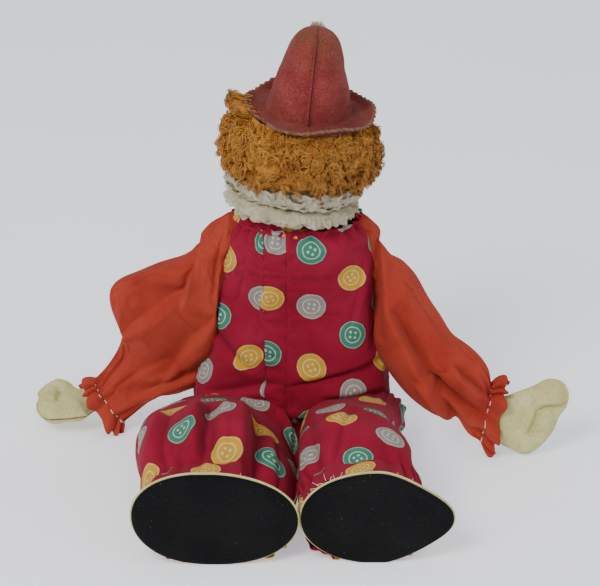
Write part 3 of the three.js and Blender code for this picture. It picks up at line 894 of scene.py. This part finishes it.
def make_hand(side, felt_cream, thread):
    wrist = joint_place(f"wrist_{side}_bend")
    if side == "left":
        along, thumb = np.array([-0.92, 0.39, -0.05]), np.array([0.39, 0.92, 0.0])
    else:
        along, thumb = np.array([1.0, 0.0, 0.0]), np.array([0.0, 0.08, 1.0])
    along, thumb = along / np.linalg.norm(along), thumb / np.linalg.norm(thumb)
    through = np.cross(along, thumb)
    outline = mitten_outline(170)
    middle = np.array([27.0, 0.0])

    def layer(name, sign):
        rows = []
        for share in np.linspace(0.001, 1, 44):
            flat = middle + (outline - middle) * share
            height = sign * mitten_height(flat, share, 0.5, 8.0)
            rows.append(wrist + flat[:, :1] * along + flat[:, 1:] * thumb + height[:, None] * through)
        points = np.array(rows)
        points = points + 0.4 * rough(points, 5, 41)[..., None] * through
        return grid(name, points, felt_cream, closed=True)

    palm = layer(f"{side}_palm_felt", 1)
    back = layer(f"{side}_handback_felt", -1)
    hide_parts(f"{side}_hand_palm", f"{side}_hand_stuffing")
    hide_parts(f"{side}_hand_back")
    for piece in (palm, back):
        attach(piece, f"hand_{side}")
    parts = []
    for i in range(0, len(outline), 5):
        edge = outline[i] - middle
        a = outline[i] - edge / np.linalg.norm(edge) * 1.6
        b = outline[i] + edge / np.linalg.norm(edge) * 0.3
        path = [wrist + p[0] * along + p[1] * thumb + t * through for p, t in ((a, 1.1), (b, 0.0), (a, -1.1))]
        parts.append(tube_part(path, 0.18, 5))
    overcast = join_parts(f"{side}_hand_stitches", parts, thread)
    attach(overcast, f"hand_{side}")


# ---- trouser legs and shoes ----
# stations down each leg: y, left x, right x, top z, bottom z
LEFT_LEG = [
    (4, -66, -18, 30, 8),
    (-12, -84, -8, 40, 1.2),
    (-32, -102, -5, 46, 0.8),
    (-55, -108, -3, 55, 0.8),
    (-80, -108, -2, 65, 0.8),
    (-100, -108, -2, 71, 0.8),
    (-122, -104, -2, 71, 0.8),
    (-142, -102, -4, 65, 0.8),
    (-152, -100, -8, 61, 1.5),
]
RIGHT_LEG = [
    (4, 16, 60, 30, 8),
    (-12, 7, 72, 42, 1.2),
    (-32, 4, 70, 46, 0.8),
    (-55, 2, 67, 53, 0.8),
    (-80, 2, 66, 61, 0.8),
    (-100, 2, 68, 68, 0.8),
    (-122, 0, 74, 68, 0.8),
    (-140, 0, 79, 64, 0.8),
    (-150, 3, 80, 60, 1.5),
]
# pleats down each leg: x at the knee, x at the hem, depth, width
LEFT_PLEATS = [
    (-64, -66, 8.0, 9),
    (-53, -55, -4.5, 8),
    (-33, -34, 8.0, 14),
    (-88, -94, 4.0, 9),
    (-20, -16, 3.0, 7),
]
RIGHT_PLEATS = [(70, 74, 3.0, 7), (8, 8, 3.0, 7), (36, 20, 2.2, 9)]
# a lower lobe towards the middle: where its edge is, and how far it drops
LEFT_LOBE = (-36, 15)
RIGHT_LOBE = (12, 5)


# how far the hem frill starts inside the leg, and the felt sole's thickness
HEM_TUCK = 4
SOLE_THICKNESS = 2.6


def leg_points(stations, pleats, lobe, seed, rows=90, columns=160):
    """The leg's folded surface, and the smooth one under it."""
    y, left, right, top, bottom = spline(stations, rows).T
    middle = np.stack([(left + right) / 2, y, (top + bottom) / 2], 1)[:, None]
    wide, high = (right - left) / 2, (top - bottom) / 2
    turn = np.linspace(0, 2 * math.pi, columns, endpoint=False)[None, :]
    c = np.sign(np.cos(turn)) * np.abs(np.cos(turn)) ** 0.8
    s = np.sign(np.sin(turn)) * np.abs(np.sin(turn)) ** 0.75
    smooth = middle + np.stack([wide[:, None] * c, 0 * c * wide[:, None], high[:, None] * s], 2)
    flat_normal = [np.cos(turn) / wide[:, None], 0 * turn * wide[:, None], np.sin(turn) / high[:, None]]
    normal = np.stack(flat_normal, 2)
    normal = normal / np.linalg.norm(normal, axis=2)[..., None]
    share = np.linspace(0, 1, rows)[:, None]
    lift = 1.8 * rough(smooth, 24, seed)
    gather = smoothstep(share, 0.75, 1.0) * 1.2 + (1 - smoothstep(share, 0.1, 0.35)) * 1.4
    lift = lift + gather * np.sin(17 * turn + 3 * np.sin(3 * turn + seed))
    upper = smoothstep(np.sin(turn), -0.1, 0.35)
    for knee, hem, depth, width in pleats:
        line = crease(smooth[..., 0], -smooth[..., 1], (knee, 78), (hem, 149), depth, width)
        lift = lift + line * upper
    points = smooth + normal * lift[..., None]
    edge, drop = lobe
    if edge < 0:
        towards_middle = smoothstep(points[..., 0], edge - 3, edge + 5)
        deep = drop * (1 + 0.9 * smoothstep(points[..., 0], edge, 0))
    else:
        towards_middle = 1 - smoothstep(points[..., 0], 0, edge + 8)
        deep = drop
    points[..., 2] -= deep * towards_middle * upper * smoothstep(-points[..., 1], 30, 80)
    points[..., 2] = np.maximum(points[..., 2], 0.5)
    return points, smooth


def make_leg(side, print_cotton, thread):
    if side == "left":
        stations, pleats, lobe, seed, start = LEFT_LEG, LEFT_PLEATS, LEFT_LOBE, 51, (10, 40)
    else:
        stations, pleats, lobe, seed, start = RIGHT_LEG, RIGHT_PLEATS, RIGHT_LOBE, 67, (31, 60)
    points, smooth = leg_points(stations, pleats, lobe, seed)
    rows, columns = points.shape[:2]
    top = columns // 4
    name = f"{side}_trouser_cloth"
    leg = grid(name, points, print_cotton, closed=True, start=start, middle=top, cut=smooth)
    ends = np.concatenate([np.arange(columns), np.arange(columns) + columns * (rows - 1)])
    settle(leg, ends, grow=0.035, pressure=0.25, cap=3, finer=1)
    above_floor(leg)
    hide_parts(f"{side}_trouser_leg", f"{side}_leg_stuffing")
    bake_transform(leg)

    hem = spline(np.concatenate([points[-1], points[-1][:1]]), columns * 2 + 1)[:-1]
    middle = hem.mean(0)
    sole_face = node_box(f"{side}_shoe_sole")[0][1]
    to_sole = middle[1] - sole_face - SOLE_THICKNESS
    turn = np.linspace(0, 2 * math.pi, len(hem), endpoint=False)
    rows = []
    for share in np.linspace(0, 1, 10):
        flare = 0.985 + 0.06 * math.sin(2 * share) + 0.02 * share * np.sin(19 * turn + 2 * np.sin(3 * turn))
        reach = (to_sole + HEM_TUCK) * share - HEM_TUCK - 0.3 * share * (1 + np.sin(9 * turn))
        ring = middle + (hem - middle) * flare[:, None] + BACK * reach[:, None]
        rows.append(ring)
    points = np.array(rows)
    points[..., 2] = np.maximum(points[..., 2], 0.6)
    frill = grid(f"{side}_hem_cloth", points, print_cotton, closed=True, start=(20, 30), thickness=0.5)
    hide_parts(f"{side}_trouser_frill")
    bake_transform(frill)
    loose_threads(f"{side}_hem_threads", points[-1], side, thread)


def loose_threads(name, edge, side, thread):
    """Frayed ends standing out of the raw hem."""
    chance = np.random.default_rng(5 if side == "left" else 9)
    middle = edge.mean(0)
    parts = []
    for i in range(0, len(edge), 4):
        root = edge[i]
        reach = chance.uniform(2, 5)
        bend = chance.normal(0, 1.4, 3) * [1, 0.3, 1]
        outward = (root - middle) / np.linalg.norm(root - middle)
        share = np.linspace(0, 1, 6)[:, None]
        path = root + outward * reach * share + bend * share**2
        path[:, 2] = np.maximum(path[:, 2], 0.4)
        parts.append(tube_part(path, np.linspace(0.22, 0.12, 6), 5))
    made = join_parts(name, parts, thread)
    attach(made, f"foot_{side}")


def sole_outline(side, margin=0.0, count=160):
    """The sole's edge in its own plane: x and z. The right toe comes to a blunt point."""
    low, high = node_box(f"{side}_shoe_sole")
    middle, half = (low + high) / 2, (high - low) / 2 - margin
    turn = np.linspace(0, 2 * math.pi, count, endpoint=False)
    c, s = np.cos(turn), np.sin(turn)
    power = 0.92 if side == "left" else 1.0
    x = np.sign(c) * np.abs(c) ** power
    z = np.sign(s) * np.abs(s) ** 0.95
    if side == "right":
        z = z * (1 - 0.3 * smoothstep(x, 0.0, 1.0)) - 0.02
    else:
        z = z * (1 - 0.05 * x) - 0.05 * x
        x = x * (1 + 0.02 * s)
    return np.stack([middle[0] + half[0] * x, middle[2] + half[2] * np.clip(z, -1, 1)], 1)


def make_shoe(side, black_felt, felt_cream):
    face = node_box(f"{side}_shoe_sole")[0][1]
    outline = sole_outline(side)
    middle = outline.mean(0)

    def plate(shares, depths):
        rows = []
        for share, depth in zip(shares, depths):
            flat = middle + (outline - middle) * share
            rows.append(np.stack([flat[:, 0], np.full(len(flat), depth), flat[:, 1]], 1))
        return np.array(rows)

    shares = np.concatenate([np.linspace(0.0005, 0.955, 30), [0.975, 0.99, 1.0, 1.0, 0.99, 0.975]])
    edge_depths = [face + 0.15, face + 0.5, face + 1.1, face + 1.7, face + 2.3, face + SOLE_THICKNESS]
    depths = np.concatenate([np.full(30, face), edge_depths])
    points = plate(shares, depths)
    points[..., 1] += 0.9 * rough(points, 28, 71 if side == "left" else 83) - 0.3
    sole = grid(f"{side}_sole_felt", points, black_felt, closed=True)
    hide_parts(f"{side}_shoe_sole", f"{side}_shoe_insole")
    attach(sole, f"foot_{side}")

    rim_path = np.stack([outline[:, 0], np.full(len(outline), face + SOLE_THICKNESS), outline[:, 1]], 1)
    rim_middle = middle[0] * np.array([1, 0, 0]) + middle[1] * UP
    rim_path = rim_middle + (rim_path - rim_middle) * [1.0, 1, 1.004]
    rim_path[:, 2] = np.maximum(rim_path[:, 2], 1.4)
    turn = np.linspace(0, 2 * math.pi, 8, endpoint=False)
    outward = rim_path - np.array([middle[0], face + SOLE_THICKNESS, middle[1]])
    outward /= np.linalg.norm(outward, axis=1)[:, None]
    rim = np.array([rim_path + 1.0 * math.cos(a) * outward + BACK * 1.0 * math.sin(a) for a in turn])
    rim = np.concatenate([rim, rim[:1]])
    welt = grid(f"{side}_shoe_welt", rim, felt_cream, closed=True)
    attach(welt, f"foot_{side}")

    upper_back = node_box(f"{side}_shoe_upper")[1][1]
    depth = 0.64 * (upper_back - face)
    rows = []
    for share in np.linspace(0, 1, 40):
        if share < 0.085:
            radius = 0.985 - 0.185 * min(1, share * 12)
        else:
            radius = 0.8 * math.cos(share * math.pi / 2) ** 0.6
        flat = middle + (outline - middle) * max(radius, 0.001)
        y = face + 3 + depth * math.sin(share * math.pi / 2)
        rows.append(np.stack([flat[:, 0], np.full(len(flat), y), flat[:, 1]], 1))
    points = np.array(rows)
    points = points + 0.6 * rough(points, 12, 91)[..., None] * UP
    points[..., 2] = np.maximum(points[..., 2], 0.6)
    upper = grid(f"{side}_upper_felt", points, felt_cream, closed=True)
    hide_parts(f"{side}_shoe_upper", f"{side}_foot_stuffing")
    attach(upper, f"foot_{side}")


# ---- head ----
HEAD_RADIUS = 38
HEAD_CENTRE = 38


RUFF_SEAM = 15.5
# the net's layers: height of the free edge, its radius, and a number that varies the pleats
RUFF_LAYERS = [(4.5, 43, 1.0), (7, 45, 2.3), (10, 44, 4.1), (20, 45, 7.7), (26, 46.5, 5.2), (30, 46, 6.6)]


def make_ruff(gauze):
    """Gathered net: soft layers from one seam, some hanging and some standing, crushed and uneven."""
    turn = np.linspace(0, 2 * math.pi, 460, endpoint=False)
    for number, (free_height, free_radius, seed) in enumerate(RUFF_LAYERS):
        pleat = 15 * turn + 2.8 * np.sin(3 * turn + seed) + 1.9 * np.sin(7 * turn - 2 * seed)
        hanging = free_height < RUFF_SEAM
        front_drop = 0 if hanging else 8 * smoothstep(np.sin(turn), 0.1, 0.8)
        rows = []
        for share in np.linspace(0, 1, 24):
            radius = 33 + (free_radius - 33) * math.sin(share * math.pi / 2) ** 0.7
            radius = radius + share * (1.3 * np.sin(pleat) + 0.7 * np.sin(2.3 * pleat + 1))
            height = RUFF_SEAM + (free_height - RUFF_SEAM) * share**1.6 - front_drop * share
            height = height + share * 1.2 * np.sin(pleat + 1.9)
            rows.append(np.stack([radius * np.cos(turn), radius * np.sin(turn), height], 1))
        points = np.array(rows)
        across = np.linspace(0, 1, 24)[:, None] ** 0.6
        crush = 0.055 * rough(points, 9, seed + 20) + 0.05 * rough(points, 4, seed)
        crush = crush + 0.02 * rough(points, 2, seed)
        points[..., 2] += across * (2.0 * rough(points, 7, seed) + 1.2 * rough(points, 3, seed + 40))
        points[..., :2] *= (1 + across * crush)[..., None]
        points[..., 0] *= np.where(points[..., 0] < 0, 1.04, 0.98)
        piece = grid(f"ruff_layer_{number + 1}", in_head_frame(points), gauze, closed=True)
        if number == 0:
            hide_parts("lower_ruff")
        if number == len(RUFF_LAYERS) - 1:
            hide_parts("upper_ruff")
        if hanging:
            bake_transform(piece)
        else:
            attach(piece, "neck")


# the gathered neck edge, from the torso up over its heading and in to the card tube: radius and height
NECK_PROFILE = [(41, -7), (38.5, -3), (35.5, 2), (33, 4), (30.5, 2.5), (27, -2.5), (14.6, -3.2)]


def make_neckband(print_cotton):
    turn = np.linspace(0, 2 * math.pi, 230, endpoint=False)
    rows = []
    for radius, height in spline(NECK_PROFILE, 40):
        loose = smoothstep(height, -6, 3)
        around = radius + loose * (1.3 * np.sin(34 * turn + np.sin(5 * turn)) + 0.6 * np.sin(9 * turn))
        flat = 0.80 + 0.20 * smoothstep(-radius, -30, -20)
        up = height + loose * (0.8 * np.sin(23 * turn) + 0.9 * np.sin(7 * turn + 2))
        rows.append(np.stack([around * np.cos(turn), around * flat * np.sin(turn), up], 1))
    points = np.array(rows)
    points[..., 2] += 0.6 * rough(points, 5, 13)
    points = in_head_frame(points)
    band = grid("gathered_neck_cloth", points, print_cotton, closed=True, start=(10, 9), thickness=0.5)
    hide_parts("neckband")
    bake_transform(band)


def wig_radius(h):
    return np.interp(h, [30, 36, 44, 54, 63, 70], [45, 51, 55, 55, 52, 43])


def under_brim(h, turn):
    """Heights on the wig, lowered at the back where the hat's brim dips."""
    return h - 2 * np.maximum(0, -np.sin(turn)) * smoothstep(h, 55, 70)


# locks above this height stand out by this much more, as the lump beside the hat
LUMP_HEIGHT = 71
LUMP_REACH = 8


def lock_path(chance, turn, h, reach, fall):
    """The middle of one lock of hair: out from the scalp, over, and down in a loose curl."""
    outward = np.array([math.cos(turn), math.sin(turn), 0.2])
    sideways = np.array([-math.sin(turn), math.cos(turn), 0.0])
    base = np.array([math.cos(turn), math.sin(turn), 0]) * (float(wig_radius(h)) - 5)
    base = base + [0, 0, under_brim(h, turn)]
    t = np.linspace(0, 1, 10)[:, None]
    path = base + outward * reach * np.sin(1.5 * t) - [0, 0, fall] * t**1.4
    path = path + sideways * chance.normal(0, 3.5) * t
    spin = 2 * math.pi * chance.uniform(0.7, 1.5) * chance.choice([-1, 1]) * t + chance.uniform(0, 6.3)
    curl = chance.uniform(1.2, 2.6) * t**0.5
    return path + curl * (sideways * np.cos(spin) + np.array([0, 0, 1.0]) * np.sin(spin))


def make_wig(pile):
    """A bumpy scalp of pile, and the locks of fine wool that stand out of it."""
    turn = np.linspace(math.radians(122), math.radians(418), 260)
    rows = []
    for h in np.linspace(72.5, 31, 50):
        radius = wig_radius(h) - 4
        up = under_brim(h + 0 * turn, turn)
        rows.append(np.stack([radius * np.cos(turn), radius * np.sin(turn), up], 1))
    for h in np.linspace(31, 64, 14):
        rows.append(np.stack([39.5 * np.cos(turn), 39.5 * np.sin(turn), np.full(len(turn), h)], 1))
    points = np.array(rows)
    lumps = 1 + 0.035 * rough(points, 7, 3) + 0.025 * rough(points, 3.5, 9)
    points[..., :2] *= lumps[..., None]
    scalp = grid("wig_pile", in_head_frame(points), pile)
    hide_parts("wig")
    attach(scalp, "head")

    chance = np.random.default_rng(21)
    places = [(chance.uniform(121, 419), chance.uniform(31, 70)) for _ in range(520)]
    places += [(chance.uniform(168, 205), chance.uniform(62, 76)) for _ in range(60)]
    places += [(chance.uniform(205, 335), chance.uniform(58, 70)) for _ in range(110)]
    parts = []
    for degrees, h in places:
        reach, fall = chance.uniform(4, 8), chance.uniform(2, 9)
        if h > LUMP_HEIGHT:
            reach, fall = reach + LUMP_REACH, -1
        middle = lock_path(chance, math.radians(degrees), h, reach, fall)
        for _ in range(12):
            spread = chance.normal(0, 1.5, 3)
            closing = np.linspace(1, 0.35, 10)[:, None]
            wave = 0.35 * np.sin(np.linspace(0, chance.uniform(5, 11), 10))[:, None] * chance.normal(0, 1, 3)
            path = middle + spread * closing + wave
            radii = chance.uniform(0.24, 0.42) * np.linspace(1, 0.45, 10)
            parts.append(tube_part(in_head_frame(path), radii, 3))
    locks = join_parts("wig_locks", parts, pile)
    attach(locks, "head")


HAT_TILT = math.radians(5)
HAT_BASE = 75.5


def hat_place(points):
    """From hat coordinates to the row frame: set on the head, a little to the right, and tipped back."""
    points = np.asarray(points, float)
    c, s = math.cos(HAT_TILT), math.sin(HAT_TILT)
    across, forward, up = points[..., 0], points[..., 1], points[..., 2]
    turned = np.stack([across + 3, forward * c - up * s, forward * s + up * c + HAT_BASE], -1)
    return in_head_frame(turned)


def make_hat(felt_red, felt_brown):
    crown = [(29.5, 0), (27.8, 5), (25.3, 16), (22.5, 27), (19.7, 38)]
    crown += [(17, 46.5), (13.4, 53), (8, 57), (0.3, 58.3)]
    profile = spline(crown, 60)
    turn = np.linspace(0, 2 * math.pi, 220, endpoint=False)
    back = -math.pi / 2
    off = np.angle(np.exp(1j * (turn - back)))
    seam = 1.3 * np.exp(-np.abs(off) / 0.035) - 0.9 * np.exp(-((np.abs(off) - 0.09) ** 2) / 0.0016)
    rows = []
    for radius, h in profile:
        strength = min(1.0, radius / 12)
        r = radius * (1 + 0.012 * np.sin(2 * turn + 0.6)) + seam * strength
        rows.append(np.stack([r * np.cos(turn), r * np.sin(turn), np.full(len(turn), h)], 1))
    points = np.array(rows)
    lift = 1.0 * rough(points, 17, 4) + 0.4 * rough(points, 6, 8)
    points[..., :2] *= (1 + lift / 30)[..., None]
    crown_piece = grid("hat_crown_felt", hat_place(points), felt_red, closed=True, middle=165)
    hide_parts("hat_crown")
    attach(crown_piece, "head")

    turn = np.linspace(0, 2 * math.pi, 720, endpoint=False)
    rows = []
    pinks = 60
    tooth = np.abs(((turn * pinks / (2 * math.pi)) % 1) - 0.5) * 2
    for share in np.linspace(0, 1, 26):
        edge = max(0.0, share - 0.9) / 0.1
        radius = 27.5 + 17 * share + edge * (1.6 * tooth - 0.8) + 0.8 * share * np.sin(3 * turn + 1)
        curl = 4.5 * smoothstep(share, 0.6, 1.0) * (0.6 + 0.4 * np.sin(4 * turn + 0.7 * np.sin(3 * turn)))
        dip = -2.0 * math.sin(share * math.pi * 0.8) + 0.9 * share * np.sin(6 * turn + 2)
        rows.append(np.stack([radius * np.cos(turn), radius * np.sin(turn), dip + curl], 1))
    points = np.array(rows)
    points[..., 2] += 0.7 * rough(points, 8, 6)
    brim = grid("hat_brim_felt", hat_place(points), felt_brown, closed=True, thickness=1.8)
    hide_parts("hat_brim")
    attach(brim, "head")


def make_pompon(wool):
    """A pale tuft at the front of the hat's tip, of short bent threads."""
    chance = np.random.default_rng(33)
    low, high = node_box("hat_pompon")
    middle = (low + high) / 2
    parts = []
    for _ in range(420):
        way = chance.normal(size=3)
        way /= np.linalg.norm(way)
        t = np.linspace(0, 1, 5)[:, None]
        path = middle + way * 5.6 * t + chance.normal(0, 0.8, 3) * t**2
        parts.append(tube_part(path, np.linspace(0.4, 0.22, 5), 4))
    tuft = join_parts("hat_tuft", parts, wool)
    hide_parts("hat_pompon")
    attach(tuft, "head")


def head_surface(across, up, lift=0.0):
    """A point on the front of the head for a place across and up from its centre."""
    radius = HEAD_RADIUS + lift
    across, up = np.asarray(across, float), np.asarray(up, float)
    forward = np.sqrt(np.maximum(radius**2 - across**2 - up**2, 1))
    return np.stack([across, forward, up + HEAD_CENTRE], -1)


def make_head(skin, red_paint, black_paint, white_paint, cheek_paint):
    turn = np.linspace(0, 2 * math.pi, 160, endpoint=False)
    rows = []
    for a in np.linspace(0.36, math.pi - 0.01, 90):
        r, h = HEAD_RADIUS * math.sin(a), HEAD_CENTRE - HEAD_RADIUS * math.cos(a)
        rows.append(np.stack([r * np.cos(turn), r * np.sin(turn), np.full(len(turn), h)], 1))
    points = np.array(rows)
    x, y, z = points[..., 0], points[..., 1], points[..., 2]
    front = smoothstep(y, 8, 34)
    for side in (-1, 1):
        cheek = np.exp(-((x - side * 15) ** 2 + (z - 31) ** 2) / 90)
        socket = np.exp(-((x - side * 12) ** 2 + (z - 48) ** 2) / 60)
        points[..., 1] += front * (2.6 * cheek - 1.6 * socket)
    points[..., 1] += front * 1.8 * np.exp(-(x**2 + (z - 15) ** 2) / 80)
    head = grid("head_moulding", in_head_frame(points), skin, closed=True)
    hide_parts("head_shell")
    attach(head, "head")

    def patch(name, middle, size, material, lift=0.7, dome=0.8, tilt=0.0):
        rows = []
        loop = np.linspace(0, 2 * math.pi, 60, endpoint=False)
        for share in np.linspace(0.02, 1, 12):
            a, b = size[0] * share * np.cos(loop), size[1] * share * np.sin(loop)
            across = middle[0] + a * math.cos(tilt) - b * math.sin(tilt)
            up = middle[1] + a * math.sin(tilt) + b * math.cos(tilt)
            height = lift + dome * math.sqrt(max(0, 1 - share**2)) - 1.2 * (share == 1)
            rows.append(head_surface(across, up, height))
        piece = grid(name, in_head_frame(np.array(rows)), material, closed=True)
        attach(piece, "head")
        return piece

    for side, word in ((-1, "left"), (1, "right")):
        patch(f"{word}_eye_white", (side * 12.5, 9), (6.2, 7.6), white_paint, 0.2)
        patch(f"{word}_eye_pupil", (side * 12.2, 8), (2.7, 3.4), black_paint, 1.1, 0.4)
        patch(f"{word}_cheek_blush", (side * 18, -7), (6.5, 5.6), cheek_paint, 2.0, 0.3)
        brow = [(side * (6.5 + 12 * t), 20 + 4.2 * math.sin(math.pi * t)) for t in np.linspace(0, 1, 15)]
        path = in_head_frame(head_surface([p[0] for p in brow], [p[1] for p in brow], 0.4))
        radii = 0.4 + 0.9 * np.sin(np.linspace(0.1, 3.0, 15))
        piece = join_parts(f"{word}_brow", [tube_part(path, radii, 8)], black_paint)
        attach(piece, "head")
    smile = [(x, -13 + 5.0 * (x / 15) ** 2) for x in np.linspace(-15, 15, 25)]
    path = in_head_frame(head_surface([p[0] for p in smile], [p[1] for p in smile], 1.0))
    radii = 0.5 + 1.9 * np.sin(np.linspace(0.08, 3.06, 25))
    mouth = join_parts("mouth", [tube_part(path, radii, 10)], red_paint)
    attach(mouth, "head")


def make_floor(paper):
    size = 6000
    points = np.array([[[-size, -size, 0], [size, -size, 0]], [[-size, size, 0], [size, size, 0]]], float)
    floor = grid("floor", points, paper)


def finish_nodes(skin_paint, card):
    """The CAD nodes that stay in view keep their shape and get their material."""
    for name, material in (("nose", skin_paint), ("neck_tube", card)):
        node = frame["nodes"][name]
        node.data.materials.clear()
        node.data.materials.append(material)


def main():
    make_camera()
    make_studio()
    print_cotton = printed_cotton()
    orange = plain_cotton("sleeve_cotton", (0.34, 0.034, 0.020), (0.42, 0.058, 0.032), (0.14, 0.010, 0.007))
    cream = felt("cream_felt", (0.52, 0.47, 0.19), (0.63, 0.58, 0.29), (0.33, 0.28, 0.11), 60)
    black_shades = [(0.0035, 0.0035, 0.004), (0.007, 0.007, 0.0075), (0.002, 0.002, 0.002)]
    black = felt("black_felt", *black_shades, 30, (0.16, 0.15, 0.13), 0.9)
    red = hat_felt()
    pile = hair_pile()
    gauze = net_gauze()
    thread = felt("pale_thread", (0.72, 0.62, 0.48), (0.8, 0.74, 0.62), (0.5, 0.4, 0.3), 200)
    skin = painted("head_paint", (0.74, 0.55, 0.37), (0.80, 0.62, 0.45), 0.5)
    red_paint = painted("red_paint", (0.42, 0.012, 0.01), (0.5, 0.03, 0.02), 0.35)
    black_paint = painted("black_paint", (0.012, 0.011, 0.01), (0.03, 0.028, 0.025), 0.4)
    white_paint = painted("white_paint", (0.75, 0.73, 0.68), (0.82, 0.8, 0.76), 0.4)
    cheek_paint = painted("cheek_paint", (0.62, 0.18, 0.12), (0.70, 0.28, 0.19), 0.5)
    card = felt("brown_card", (0.30, 0.19, 0.09), (0.36, 0.24, 0.12), (0.2, 0.12, 0.06), 90)

    make_torso(print_cotton)
    torso_bottom(print_cotton)
    make_neckband(print_cotton)
    for side in ("left", "right"):
        gather = make_sleeve(side, orange)
        make_cuff(side, gather, orange, thread)
        make_hand(side, cream, thread)
        make_leg(side, print_cotton, thread)
        make_shoe(side, black, cream)
    make_ruff(gauze)
    make_wig(pile)
    make_hat(red, brim_felt())
    make_pompon(gauze)
    make_head(skin, red_paint, black_paint, white_paint, cheek_paint)
    finish_nodes(red_paint, card)
    make_floor(floor_paper())


main()
